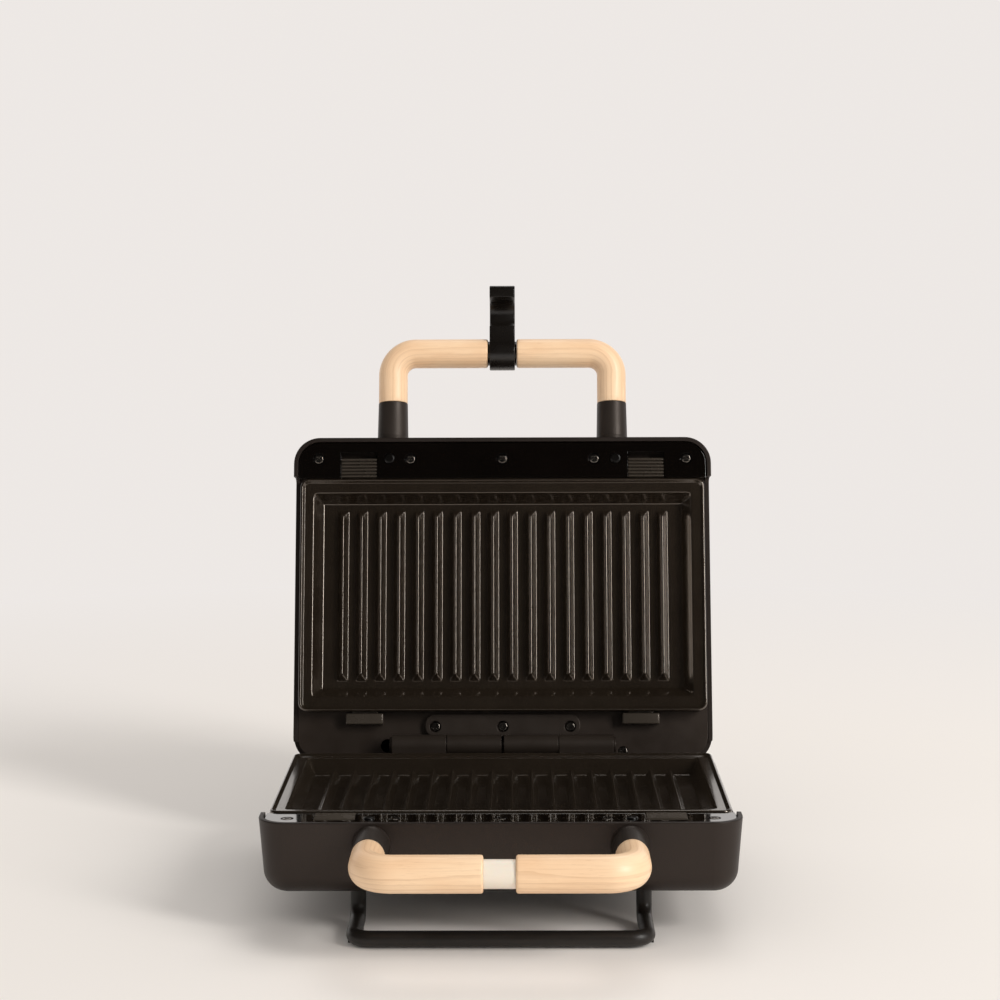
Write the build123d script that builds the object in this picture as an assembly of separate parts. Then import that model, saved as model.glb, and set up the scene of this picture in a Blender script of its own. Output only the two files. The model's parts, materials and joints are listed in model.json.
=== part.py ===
from build123d import *
import math
import os

# Waffle and grill maker: two hinged cases with removable ribbed plates, wooden U handles,
# a flip-over latch clip and two bent-rod feet. It is drawn standing open, as it is used.
# Both cases are drawn in one half frame: the closing plane is z = 0, the case lies below it
# and its handle points to -Y. The base case stands up as drawn. The lid is its mirror image,
# turned open about the hinge. All sizes are millimetres and degrees.

os.makedirs("parts", exist_ok=True)

# How far cutting tools reach past what they cut
overcut = 1.0
far = 500.0

# Cases
case_width = 238.0
case_depth = 185.0
shell_height = 37.0
wall = 2.4
corner_radius = 15.0
edge_radius = 11.0
draft_angle = 4.5
rim_gap = 0.5
raised_rim_length = 22.5
rim_edge_radius = 0.5
side_rim_drop = 9.0
rear_rim_drop = 12.0
step_radius = 3.0
seat_gap = 0.3

# Hinge and opening
hinge_from_rear = 10.0
open_angle = 105.0
barrel_diameter = 11.5
knuckle_length = 30.4
knuckle_gap = 0.4
middle_gap = 1.4
pin_diameter = 5.0
pin_clearance = 0.05
pin_head_diameter = 9.0
pin_head_length = 1.2
leaf_thickness = 3.2
leaf_front = 17.4
leaf_back = 5.0
lid_leaf_width = 87.0
leaf_corner = 5.5
lid_leaf_screw_pitch = 38.0
base_leaf_screw_pitch = 15.0
leaf_screw_from_axis = 10.6
leaf_boss_length = 7.0
web_behind_axis = 1.0

# Removable plates
plate_from_side = 4.0
plate_from_rear = 28.9
plate_from_front = 23.7
plate_gap = 0.3
plate_corner = 5.0
plate_edge_radius = 1.0
lip_crest = 1.2
lip_slope = 1.4
lip_height = 1.2
lip_radius = 0.4
side_flange = 7.6
end_flange = 8.3
pit_corner = 2.6
pit_floor_corner = 1.2
pit_edge_radius = 0.6
pit_floor_radius = 0.8
pit_depth = 8.4
pit_slope = 5.1
plate_wall = 2.3
skirt_wall = 2.5
rib_count = 18
rib_side_gap = 16.45
rib_end_gap = 9.5
rib_width = 6.0
rib_corner = 0.8
rib_crest_width = 0.9
rib_end_slope = 4.1
rib_height = 4.8
rib_root = 0.2
tab_thickness = 2.0
tab_drop = 5.2
rear_tab_reach = 3.6
tab_width = 14.0

# Plate clips and release sliders
clip_width = 21.0
clip_depth = 6.2
clip_gap = 1.0
clip_top = 2.5
clip_from_side = 41.3
clip_edge_radius = 0.5
pocket_clearance = 0.4
slider_from_side = 37.2
slider_width = 20.2
slider_length = 11.4
slider_top = 1.0
slider_wing = 1.4
slider_travel = 3.0
slider_clearance = 0.3
tongue_width = 12.0
tongue_thickness = 1.6
tongue_overlap = 1.4
tongue_clearance = 0.3
slider_rib_count = 6
slider_rib_height = 0.5
slider_rib_share = 0.56
slider_back_gap = 0.1

# Bezel and inner frame
bezel_depth_end = 23.3
bezel_gap = 0.4
bezel_recess = 1.2
bezel_thickness = 2.5
bezel_edge_radius = 0.5
bezel_screw_from_side = 14.2
bezel_screw_from_front = 12.3
bumper_from_side = 54.5
bumper_from_front = 12.0
bumper_diameter = 5.8
bumper_gap = 0.3
bumper_wall = 1.5
bumper_seat = 2.0
bumper_dome = 0.9
frame_thickness = 2.0
frame_opening_gap = 2.0
frame_rear_flange = 3.8
frame_from_axis = 5.5
lead_hole_x = 65.1
lead_hole_diameter = 7.4
frame_screw_from_side = 7.0
frame_screw_from_end = 19.5
rear_screw_x = 67.7
rear_screw_from_axis = 3.3

# Screws
screw_shank = 3.0
screw_head = 5.2
screw_head_height = 1.6
screw_length = 11.0
bezel_screw_length = 16.0
screw_clearance = 0.1
screw_dome = 0.6
screw_recess = 3.4
screw_recess_width = 0.7
screw_sink = 0.6
boss_diameter = 7.0
boss_floor = 4.0
pocket_diameter = 6.4

# Heating
element_diameter = 6.5
element_side_gap = 30.0
element_end_gap = 26.5
element_bend = 14.0
element_tail_pitch = 44.0
element_rear_setback = 12.0
element_tail_setback = 2.0
contact_gap = 0.2
pan_thickness = 1.0
pan_depth = 8.6
pan_flange = 5.0
pan_flange_inset = 30.0
pan_edge_radius = 3.0
pan_hole_clearance = 0.75
saddle_width = 10.0
saddle_length = 8.0
saddle_setback = 6.0
terminal_diameter = 2.4
terminal_length = 9.0

# Electrical parts inside
thermostat_diameter = 16.0
thermostat_height = 9.0
thermostat_tag_width = 6.0
thermostat_tag_reach = 13.5
fuse_diameter = 5.0
fuse_length = 22.0
block_length = 30.0
block_depth = 13.0
block_height = 11.0
block_from_axis = 24.0
block_ways = 3
block_hole = 3.4
inlet_diameter = 9.0
inlet_flange = 12.5
inlet_bore = 6.6
inlet_flange_thickness = 1.8
inlet_x = 40.0
inlet_drop = 20.5
lens_diameter = 7.0
lens_height = 1.2
lens_dome = 1.0
lens_pitch = 24.0
lens_from_front = 22.0
lamp_length = 16.0
lamp_gap = 0.1
vent_count = 7
vent_width = 2.5
vent_length = 34.0
vent_pitch = 9.0

# Handles
handle_from_side = 56.0
handle_drop = 11.75
handle_reach = 51.2
handle_bend = 13.1
grip_width = 16.6
grip_height = 18.0
ferrule_length = 21.8
ferrule_end_width = 16.8
ferrule_end_height = 18.4
ferrule_root_width = 17.6
ferrule_root_height = 19.0
ferrule_flare = 20.2
flare_length = 3.0
ferrule_swell = 0.9
ferrule_edge_radius = 0.6
grip_end_radius = 1.2
core_diameter = 6.0
core_clearance = 0.1
core_embed = 26.0
bolt_diameter = 5.0
bolt_head = 9.0
bolt_head_height = 3.5
bolt_embed = 11.0
bolt_tip_gap = 1.0
bolt_post_width = 18.0
bolt_post_depth = 3.0
bolt_post_rise = 5.0
keeper_diameter = 13.7
keeper_length = 15.1
joint_gap = 0.05

# Latch clip
latch_width = 14.6
latch_wall = 2.75
latch_neck_diameter = 13.9
latch_side_gap = 0.9
latch_clearance = 0.25
latch_face = 8.0
latch_mouth_near = 8.6
latch_mouth_far = 8.2
latch_seat_lip = 1.0
latch_reach = 38.9
latch_tip_radius = 2.5
latch_tip_height = 9.5

# Feet
base_clearance = 22.0
rod_diameter = 7.8
leg_from_side = 47.7
rod_bend = 8.0
leg_from_face = 28.6
bar_from_face = 10.9
pad_thickness = 0.8
pad_width = 6.4
pad_length = 22.0
pad_height = 2.6
pad_clearance = 0.01
socket_depth = 9.0
socket_wall = 2.5
socket_roof = 2.4
socket_clearance = 0.1
foot_screw_length = 9.0

# Places worked out from the sizes above
draft = math.tan(math.radians(draft_angle))
half_width = case_width / 2
half_depth = case_depth / 2
front_y = -half_depth
axis_y = half_depth - hinge_from_rear
rim_z = -rim_gap
bottom_z = rim_z - shell_height
floor_z = bottom_z + wall
frame_z = rim_z - side_rim_drop
rear_rim_z = rim_z - rear_rim_drop
frame_under_z = frame_z - frame_thickness
plate_z = -plate_gap
plate_width = case_width - 2 * plate_from_side
plate_depth = case_depth - plate_from_front - plate_from_rear
plate_y = front_y + plate_from_front + plate_depth / 2
plate_front_y = plate_y - plate_depth / 2
plate_rear_y = plate_y + plate_depth / 2
pit_width = plate_width - 2 * side_flange
pit_length = plate_depth - 2 * end_flange
flange_z = plate_z - lip_height
pit_z = flange_z - pit_depth
rib_pitch = (pit_width - 2 * rib_side_gap) / (rib_count - 1)
rib_length = pit_length - 2 * rib_end_gap
plate_under_z = pit_z - plate_wall
frame_hole_width = pit_width + 2 * plate_wall - 2 * pit_slope + 2 * frame_opening_gap
frame_hole_depth = pit_length + 2 * plate_wall - 2 * pit_slope + 2 * frame_opening_gap
bezel_z = rim_z - bezel_recess + rim_gap
bezel_under_z = bezel_z - bezel_thickness
bezel_back_y = front_y + bezel_depth_end
bezel_screw_pitch = (half_width - bezel_screw_from_side) / 2
bumper_x = half_width - bumper_from_side
clip_x = half_width - clip_from_side
slider_x = half_width - slider_from_side
frame_screw_x = half_width - frame_screw_from_side
frame_screw_pitch = plate_depth - 2 * frame_screw_from_end
tab_z = plate_z - tab_drop
tongue_z = tab_z + slider_clearance
barrel_radius = barrel_diameter / 2
element_width = plate_width - 2 * element_side_gap
element_depth = plate_depth - 2 * element_end_gap
element_z = plate_under_z - contact_gap - element_diameter / 2
pan_z = frame_under_z
pan_floor_z = pan_z - pan_depth + pan_thickness
bar_y = front_y - handle_reach
handle_pitch = case_width - 2 * handle_from_side
rod_pitch = case_width - 2 * leg_from_side
handle_z = -handle_drop
ferrule_end_y = front_y - ferrule_length
frame_rear_y = axis_y + frame_from_axis
inlet_y = half_depth - (inlet_drop + rim_z) * draft
leaf_screw_z = frame_z + leaf_thickness - screw_sink
socket_top_z = floor_z + socket_depth
latch_span = 2 * handle_drop
neck_length = latch_width + 2 * latch_side_gap
mating_z = base_clearance - bottom_z
slider_back_y = bezel_back_y - slider_back_gap
slider_front_y = slider_back_y - slider_length
bolt_seat_y = front_y + wall + bolt_post_depth


def rounded_slab(width, depth, corner, top, bottom, centre_y=0.0):
    """Upright-sided slab with rounded corners between two heights."""
    outline = Pos(0, centre_y, bottom) * RectangleRounded(width, depth, corner)
    return extrude(outline, amount=top - bottom, dir=(0, 0, 1))


def case_slice(inset, top, bottom):
    """Drafted slab that follows the case's outside, moved in by inset."""
    narrowing = inset + (rim_z - top) * draft
    corner = corner_radius - narrowing
    outline = RectangleRounded(case_width - 2 * narrowing, case_depth - 2 * narrowing, corner)
    return extrude(Pos(0, 0, top) * outline, amount=top - bottom, dir=(0, 0, -1), taper=draft_angle)


def case_block(inset, bottom):
    """The case's outside, or its inside when inset by the wall, with the rounded bottom edge."""
    block = case_slice(inset, rim_z, bottom)
    bottom_corner = corner_radius - inset - (rim_z - bottom) * draft
    radius = min(edge_radius - inset, bottom_corner - 0.4)
    return fillet(block.edges().group_by(Axis.Z)[0], radius)


def box_between(low, high):
    """Box from its lowest and highest corners."""
    size = [b - a for a, b in zip(low, high)]
    middle = [(a + b) / 2 for a, b in zip(low, high)]
    return Pos(*middle) * Box(*size)


def upright(x, y, diameter, low, high):
    """Vertical cylinder between two heights."""
    return Pos(x, y, (low + high) / 2) * Cylinder(diameter / 2, high - low)


def along_x(y, z, diameter, low, high):
    """Cylinder along X between two ends."""
    return Pos((low + high) / 2, y, z) * Rot(0, 90, 0) * Cylinder(diameter / 2, high - low)


def along_y(x, z, diameter, low, high):
    """Cylinder along Y between two ends."""
    return Pos(x, (low + high) / 2, z) * Rot(90, 0, 0) * Cylinder(diameter / 2, high - low)


def both_sides(shape):
    """The shape and its mirror image across the object's middle."""
    return [shape, mirror(shape, about=Plane.YZ)]


bezel_screw_places = [
    (step * bezel_screw_pitch, front_y + bezel_screw_from_front) for step in (-2, -1, 0, 1, 2)
]
frame_screw_places = [
    (side * frame_screw_x, plate_y + end * frame_screw_pitch / 2)
    for side in (-1, 1)
    for end in (-1, 1)
] + [(rear_screw_x, axis_y + rear_screw_from_axis)]
bumper_places = [(side * bumper_x, front_y + bumper_from_front) for side in (-1, 1)]
lens_places = [(side * lens_pitch / 2, front_y + lens_from_front) for side in (-1, 1)]


def screw(x, y, head_top, length=screw_length):
    """Pan-head screw with a cross recess, pointing down from its head."""
    head = upright(x, y, screw_head, head_top - screw_head_height, head_top)
    head = fillet(head.edges().group_by(Axis.Z)[-1], screw_dome)
    for angle in (45, 135):
        slot = Box(screw_recess, screw_recess_width, screw_head_height)
        head -= Pos(x, y, head_top) * Rot(0, 0, angle) * slot
    return head + upright(x, y, screw_shank, head_top - length, head_top - screw_head_height)


def rim_cutter():
    """What is cut off the rim: the sides behind the front strip, and the rear behind the hinge."""
    step_y = front_y + raised_rim_length
    sides = box_between((-far, step_y, frame_z), (far, far, -frame_z))
    lower_front = sides.edges().filter_by(Axis.X).sort_by(Axis.Z)[:2].sort_by(Axis.Y)[0]
    sides = fillet(lower_front, step_radius)
    rear = box_between((-far, axis_y - wall, rear_rim_z), (far, far, -frame_z))
    return sides + rear


def case_shell():
    """Moulded case with its rim steps, screw bosses and handle bolt holes."""
    outside = case_block(0, bottom_z)
    inside = case_block(wall, floor_z)
    bosses = Part()
    for x, y in bezel_screw_places + frame_screw_places:
        bosses += upright(x, y, boss_diameter, floor_z - wall / 2, frame_under_z)
    for side in (-1, 1):
        x = side * handle_pitch / 2
        bosses += box_between(
            (x - bolt_post_width / 2, front_y, floor_z - wall / 2),
            (x + bolt_post_width / 2, bolt_seat_y, handle_z + bolt_post_rise),
        )
    outside = fillet(outside.faces().sort_by(Axis.Z)[-1].edges(), rim_edge_radius)
    shell = (outside - inside) + (bosses & outside)
    shell -= rim_cutter()
    for x, y in bezel_screw_places + frame_screw_places:
        shell -= upright(x, y, screw_shank + 2 * screw_clearance, floor_z + boss_floor, 0)
    for side in (-1, 1):
        bore = bolt_diameter + 2 * screw_clearance
        shell -= along_y(side * handle_pitch / 2, handle_z, bore, front_y, bolt_seat_y + overcut)
    return shell


def base_case():
    """The base case: sockets for the feet, floor vents and the cord inlet's hole."""
    shell = case_shell()
    outside = case_block(0, bottom_z)
    for x, y in leg_places():
        outer = rod_diameter + 2 * (socket_clearance + socket_wall)
        bore = rod_diameter + 2 * socket_clearance
        shell += upright(x, y, outer, bottom_z, socket_top_z) & outside
        shell -= upright(x, y, bore, bottom_z - overcut, socket_top_z - socket_roof)
        shell -= upright(x, y, screw_shank + 2 * screw_clearance, bottom_z, 0)
    for index in range(vent_count):
        x = (index - (vent_count - 1) / 2) * vent_pitch
        slot = Pos(x, 0, bottom_z) * Rot(0, 0, 90) * SlotOverall(vent_length, vent_width)
        shell -= extrude(slot, amount=2 * wall, both=True)
    hole = along_y(0, 0, inlet_diameter + 2 * screw_clearance, -2 * wall, overcut)
    return shell - inlet_place * hole


def lid_case():
    """The lid case, with two holes for the lamp lenses in its outer face."""
    shell = case_shell()
    for x, y in lens_places:
        bore = lens_diameter + 2 * screw_clearance
        shell -= upright(x, y, bore, bottom_z - overcut, floor_z + overcut)
    return shell


def bezel():
    """Glossy front strip with screw pockets, bumper holes, slider slots and legs onto the frame."""
    strip = case_slice(wall + bezel_gap, bezel_z, bezel_under_z)
    strip = fillet(strip.faces().sort_by(Axis.Z)[-1].edges(), bezel_edge_radius)
    strip &= box_between((-far, -far, -far), (far, bezel_back_y, far))
    for x, y in bezel_screw_places:
        strip += upright(x, y, boss_diameter, frame_z, bezel_under_z)
    for x, y in bumper_places:
        cup = bumper_diameter + 2 * bumper_wall
        strip += upright(x, y, cup, bezel_under_z - bumper_seat, bezel_under_z)
    for x, y in bezel_screw_places:
        strip -= upright(x, y, pocket_diameter, bezel_z - screw_head_height, 0)
        strip -= upright(x, y, screw_shank + 2 * screw_clearance, frame_z - overcut, 0)
    for x, y in bumper_places:
        strip -= upright(x, y, bumper_diameter + 2 * screw_clearance, bezel_under_z, 0)
    slot_half = slider_width / 2 + slider_clearance
    slot_front = slider_front_y - slider_travel - slider_clearance
    for side in (-1, 1):
        x = side * slider_x
        strip -= box_between((x - slot_half, slot_front, frame_z), (x + slot_half, far, 0))
    return strip


def bumpers():
    """Rubber bumpers that hold the closed rims apart."""
    made = []
    for x, y in bumper_places:
        stud = upright(x, y, bumper_diameter, bezel_under_z, -bumper_gap)
        made.append(fillet(stud.edges().group_by(Axis.Z)[-1], bumper_dome))
    return made


def release_slider(side):
    """Ribbed thumb slider whose tongue enters the plate's front skirt."""
    x = side * slider_x
    half = slider_width / 2
    wing_z = bezel_under_z - slider_clearance
    foot_z = frame_z + slider_clearance
    valley_z = -slider_top - slider_rib_height
    body = box_between((x - half, slider_front_y, foot_z), (x + half, slider_back_y, valley_z))
    wings = box_between(
        (x - half - slider_wing, slider_front_y, foot_z),
        (x + half + slider_wing, slider_back_y, wing_z),
    )
    tongue = box_between(
        (x - tongue_width / 2, slider_back_y - overcut, tongue_z),
        (x + tongue_width / 2, plate_front_y + tongue_overlap, tongue_z + tongue_thickness),
    )
    slider = body + wings + tongue
    spacing = slider_length / slider_rib_count
    for index in range(slider_rib_count):
        y = slider_front_y + (index + 0.5) * spacing
        rib_half = spacing * slider_rib_share / 2
        slider += box_between(
            (x - half, y - rib_half, valley_z - slider_rib_height), (x + half, y + rib_half, -slider_top)
        )
    return slider


def inner_frame():
    """Inner tray that carries the plate, the bezel, the sliders and the hinge leaf."""
    panel = case_slice(wall + seat_gap, frame_z, frame_under_z)
    panel &= box_between((-far, -far, -far), (far, frame_rear_y, far))
    flange_half = half_width - corner_radius
    panel += box_between(
        (-flange_half, frame_rear_y - frame_thickness, frame_z - frame_rear_flange),
        (flange_half, frame_rear_y, frame_z),
    )
    low = frame_under_z - overcut
    panel -= rounded_slab(frame_hole_width, frame_hole_depth, plate_corner, 0, low, plate_y)
    for side in (-1, 1):
        x = side * handle_pitch / 2
        notch_half = bolt_post_width / 2 + seat_gap
        notch_y = bolt_seat_y + bolt_head_height + seat_gap
        panel -= box_between((x - notch_half, -far, low), (x + notch_half, notch_y, 0))
    for x, y in frame_screw_places:
        panel -= upright(x, y, screw_head + 4 * screw_clearance, frame_z - screw_head_height, 0)
        panel -= upright(x, y, boss_diameter + 2 * seat_gap, -far, frame_under_z)
    for x, y in bezel_screw_places + frame_screw_places:
        panel -= upright(x, y, screw_shank + 2 * screw_clearance, low, 0)
    return panel - upright(-lead_hole_x, axis_y, lead_hole_diameter, low, 0)


def screwed_frame(leaf_places):
    """The inner frame with bosses under the hinge leaf's screws."""
    frame = inner_frame()
    low = frame_under_z - leaf_boss_length
    for x, y in leaf_places:
        frame += upright(x, y, boss_diameter, low, frame_under_z)
        frame -= upright(x, y, screw_shank + 2 * screw_clearance, low - overcut, 0)
    return frame


def grill_rib(x):
    """One grill rib: a narrow crest that slopes down to its foot on every side."""
    crest_length = rib_length - 2 * rib_end_slope
    foot = Pos(x, plate_y, pit_z - rib_root) * RectangleRounded(rib_width, rib_length, rib_corner)
    crest = Pos(x, plate_y, pit_z + rib_height)
    crest *= SlotOverall(crest_length, rib_crest_width, rotation=90)
    return loft([foot, crest])


def sunk(width, depth, corner, top, bottom, slope, floor_corner):
    """Sloped hollow: as wide at its top as asked, narrower at its bottom by the slope."""
    mouth = Pos(0, plate_y, top) * RectangleRounded(width, depth, corner)
    floor = Pos(0, plate_y, bottom)
    floor *= RectangleRounded(width - 2 * slope, depth - 2 * slope, floor_corner)
    return loft([mouth, floor])


def eased(body, height, radius):
    """The body with the edges of its largest level face at a height rounded."""
    level = [face for face in body.faces().filter_by(Plane.XY) if abs(face.center().Z - height) < 0.01]
    largest = sorted(level, key=lambda face: face.area)[-1]
    return fillet(largest.edges(), radius)


def grill_plate():
    """Cast plate: raised lip, flat flange, sloped pit, ribs, latch slots and rear tabs."""
    body = rounded_slab(plate_width, plate_depth, plate_corner, plate_z, frame_z, plate_y)
    body = fillet(body.faces().sort_by(Axis.Z)[-1].edges(), plate_edge_radius)
    hollow = rounded_slab(
        plate_width - 2 * skirt_wall,
        plate_depth - 2 * skirt_wall,
        plate_corner - skirt_wall,
        flange_z - plate_wall,
        frame_z - overcut,
        plate_y,
    )
    body -= hollow
    thick = 2 * plate_wall
    wide, long = pit_width + thick, pit_length + thick
    mouth_corner, floor_corner = pit_corner + plate_wall, pit_floor_corner + plate_wall
    body += sunk(wide, long, mouth_corner, flange_z, plate_under_z, pit_slope, floor_corner)
    lip = 2 * lip_crest
    wide, long = plate_width - lip, plate_depth - lip
    well_corner = plate_corner - lip_crest
    flange_corner = well_corner - lip_slope
    body -= sunk(wide, long, well_corner, plate_z, flange_z, lip_slope, flange_corner)
    body = eased(body, flange_z, lip_radius)
    pit = sunk(pit_width, pit_length, pit_corner, flange_z, pit_z, pit_slope, pit_floor_corner)
    body -= pit
    flange = [face for face in body.faces().filter_by(Plane.XY) if abs(face.center().Z - flange_z) < 0.01]
    body = fillet(flange[0].inner_wires()[0].edges(), pit_edge_radius)
    body = eased(body, pit_z, pit_floor_radius)
    for index in range(rib_count):
        body += grill_rib((index - (rib_count - 1) / 2) * rib_pitch)
    slot_half = tongue_width / 2 + slider_travel
    for side in (-1, 1):
        body -= box_between(
            (side * slider_x - slot_half, plate_front_y - overcut, tongue_z - tongue_clearance),
            (
                side * slider_x + slot_half,
                plate_front_y + skirt_wall + overcut,
                tongue_z + tongue_thickness + tongue_clearance,
            ),
        )
        body += box_between(
            (side * clip_x - tab_width / 2, plate_rear_y - overcut, tab_z - tab_thickness),
            (side * clip_x + tab_width / 2, plate_rear_y + rear_tab_reach, tab_z),
        )
    return body


def plate_clips():
    """Fixed hooks behind the plate, each with a pocket for a rear tab."""
    front = plate_rear_y + clip_gap
    made = []
    for side in (-1, 1):
        x = side * clip_x
        block = box_between(
            (x - clip_width / 2, front, frame_z), (x + clip_width / 2, front + clip_depth, -clip_top)
        )
        top_edges = block.faces().sort_by(Axis.Z)[-1].edges()
        block = fillet(top_edges, clip_edge_radius)
        gap = pocket_clearance
        block -= box_between(
            (x - tab_width / 2 - gap, front - overcut, tab_z - tab_thickness - gap),
            (x + tab_width / 2 + gap, plate_rear_y + rear_tab_reach + gap, tab_z + gap),
        )
        made.append(block)
    return made


def heating_element():
    """Tubular element bent into a loop below the plate, both tails to the rear."""
    half_w = element_width / 2
    half_d = element_depth / 2
    tail = element_tail_pitch / 2
    tail_y = plate_y + frame_hole_depth / 2 - pan_thickness - element_tail_setback
    rear_run_y = plate_y + half_d - element_rear_setback
    front_run_y = plate_y - half_d
    points = [
        (-tail, tail_y, element_z),
        (-tail, rear_run_y, element_z),
        (-half_w, rear_run_y, element_z),
        (-half_w, front_run_y, element_z),
        (half_w, front_run_y, element_z),
        (half_w, rear_run_y, element_z),
        (tail, rear_run_y, element_z),
        (tail, tail_y, element_z),
    ]
    path = FilletPolyline(*points, radius=element_bend)
    section = Plane(origin=path @ 0, z_dir=path % 0) * Circle(element_diameter / 2)
    tube = sweep(section, path=path)
    for side in (-1, 1):
        tube += along_y(side * tail, element_z, terminal_diameter, tail_y, tail_y + terminal_length)
    return tube


def reflector_pan():
    """Pressed pan under the element, hung from the frame by its front and rear flanges."""
    width = frame_hole_width - 2 * seat_gap
    depth = frame_hole_depth - 2 * seat_gap
    outside = rounded_slab(width, depth, plate_corner, pan_z, pan_z - pan_depth, plate_y)
    outside = fillet(outside.faces().sort_by(Axis.Z)[0].edges(), pan_edge_radius)
    inside = rounded_slab(
        width - 2 * pan_thickness,
        depth - 2 * pan_thickness,
        plate_corner - pan_thickness,
        pan_z,
        pan_floor_z,
        plate_y,
    )
    inside = fillet(inside.faces().sort_by(Axis.Z)[0].edges(), pan_edge_radius - pan_thickness)
    pan = outside - inside
    flange_half = width / 2 - pan_flange_inset
    for side in (-1, 1):
        wall_y = plate_y + side * (depth / 2 - pan_thickness / 2)
        edge_y = plate_y + side * (depth / 2 + pan_flange)
        low_y, high_y = sorted((wall_y, edge_y))
        pan += box_between(
            (-flange_half, low_y, pan_z - pan_thickness), (flange_half, high_y, pan_z)
        )
    rear_wall_y = plate_y + depth / 2
    hole = element_diameter + 2 * pan_hole_clearance
    for side in (-1, 1):
        x = side * element_tail_pitch / 2
        pan -= along_y(x, element_z, hole, rear_wall_y - pan_edge_radius, rear_wall_y + overcut)
    return pan


def element_saddles():
    """Saddles that stand on the pan and hold the element up to the plate."""
    middle_y = plate_y - saddle_setback
    front_run_y = plate_y - element_depth / 2
    groove = element_diameter + 2 * screw_clearance
    height = element_z - pan_floor_z
    middle_z = pan_floor_z + height / 2
    made = []
    for side in (-1, 1):
        x = side * element_width / 2
        stand = Pos(x, middle_y, middle_z) * Box(saddle_width, saddle_length, height)
        made.append(stand - along_y(x, element_z, groove, middle_y - far, middle_y + far))
        x = side * element_width / 4
        stand = Pos(x, front_run_y, middle_z) * Box(saddle_length, saddle_width, height)
        made.append(stand - along_x(front_run_y, element_z, groove, -far, far))
    return made


def knuckle_spans():
    """X ranges of the four knuckles, from left to right."""
    inner = middle_gap / 2
    outer = inner + knuckle_length + knuckle_gap
    right = [(inner, inner + knuckle_length), (outer, outer + knuckle_length)]
    return [(-high, -low) for low, high in reversed(right)] + right


def knuckle(span):
    """One barrel knuckle with the web that ties it to its leaf."""
    low, high = span
    round_part = along_x(axis_y, 0, barrel_diameter, low, high)
    web = box_between((low, axis_y - barrel_radius, frame_z), (high, axis_y + web_behind_axis, 0))
    bore = along_x(axis_y, 0, pin_diameter + 2 * pin_clearance, low - overcut, high + overcut)
    return round_part + web - bore


def leaf_pad(low, high, screw_places):
    """Flat leaf screwed to the inner frame, with screw pockets."""
    top = frame_z + leaf_thickness
    middle_x = (low + high) / 2
    middle_y = axis_y - (leaf_front + leaf_back) / 2
    depth = leaf_front - leaf_back
    pad = rounded_slab(high - low, depth, leaf_corner, top, frame_z, middle_y)
    pad = Pos(middle_x, 0, 0) * pad
    for x, y in screw_places:
        pad -= upright(x, y, pocket_diameter, leaf_screw_z - screw_head_height, top)
        pad -= upright(x, y, screw_shank + 2 * screw_clearance, frame_z, top)
    return pad


lid_leaf_screws = [
    (step * lid_leaf_screw_pitch, axis_y - leaf_screw_from_axis) for step in (-1, 0, 1)
]
outer_span = knuckle_spans()[3]
outer_middle = (outer_span[0] + outer_span[1]) / 2
base_leaf_screws = [
    (side * (outer_middle + step * base_leaf_screw_pitch / 2), axis_y - leaf_screw_from_axis)
    for side in (-1, 1)
    for step in (-1, 1)
]


def lid_leaf():
    """The lid's hinge leaf with the two middle knuckles."""
    leaf = leaf_pad(-lid_leaf_width / 2, lid_leaf_width / 2, lid_leaf_screws)
    for span in knuckle_spans()[1:3]:
        leaf += knuckle(span)
    return leaf


def base_leaves():
    """The base's two hinge leaves, each with one outer knuckle."""
    low, high = outer_span
    places = [place for place in base_leaf_screws if place[0] > 0]
    right = leaf_pad(low, high, places) + knuckle(outer_span)
    return both_sides(right)


def hinge_pin():
    """Pin through all four knuckles, headed at both ends."""
    head = outer_span[1] + pin_clearance
    end = head + pin_head_length
    pin = along_x(axis_y, 0, pin_diameter, -end, end)
    pin += along_x(axis_y, 0, pin_head_diameter, head, end)
    return pin + along_x(axis_y, 0, pin_head_diameter, -end, -head)


def oval(x, y, width, height):
    """Upright oval face across the handle's leg."""
    across = Plane(origin=(x, y, handle_z), x_dir=(1, 0, 0), z_dir=(0, 1, 0))
    return across * Ellipse(width / 2, height / 2)


def ferrule(x):
    """Moulded ferrule between the case and the wood, flared where it meets the case."""
    face_y = front_y + (rim_z - handle_z) * draft
    flare_y = face_y - flare_length
    barrel = loft(
        [
            oval(x, ferrule_end_y, ferrule_end_width, ferrule_end_height),
            oval(x, flare_y, ferrule_root_width, ferrule_root_height),
        ]
    )
    barrel = fillet(barrel.faces().sort_by(Axis.Y)[0].edges(), ferrule_edge_radius)
    swollen_width = ferrule_root_width + ferrule_swell
    swollen_height = ferrule_root_height + ferrule_swell
    flare = loft(
        [
            oval(x, flare_y, ferrule_root_width, ferrule_root_height),
            oval(x, face_y - flare_length / 3, swollen_width, swollen_height),
            oval(x, face_y + overcut, ferrule_flare, ferrule_flare),
        ]
    )
    bore = bolt_diameter + 2 * screw_clearance
    body = barrel + flare - along_y(x, handle_z, bore, ferrule_end_y - overcut, bolt_seat_y)
    return body - case_slice(0, rim_z, bottom_z)


def grip(bar_end):
    """Right-hand wooden grip: a leg, a bend and half of the bar, bored for bolt and core."""
    x = handle_pitch / 2
    start_y = ferrule_end_y - joint_gap
    path = FilletPolyline(
        (x, start_y, handle_z), (x, bar_y, handle_z), (bar_end, bar_y, handle_z), radius=handle_bend
    )
    wood = sweep(oval(x, start_y, grip_width, grip_height), path=path)
    end_edges = wood.faces().sort_by(Axis.X)[0].edges()
    wood = fillet(end_edges, grip_end_radius)
    bore = bolt_diameter + 2 * screw_clearance
    wood -= along_y(x, handle_z, bore, start_y - bolt_embed, start_y)
    core = core_diameter + 2 * core_clearance
    return wood - along_x(bar_y, handle_z, core, bar_end, bar_end + core_embed)


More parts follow.
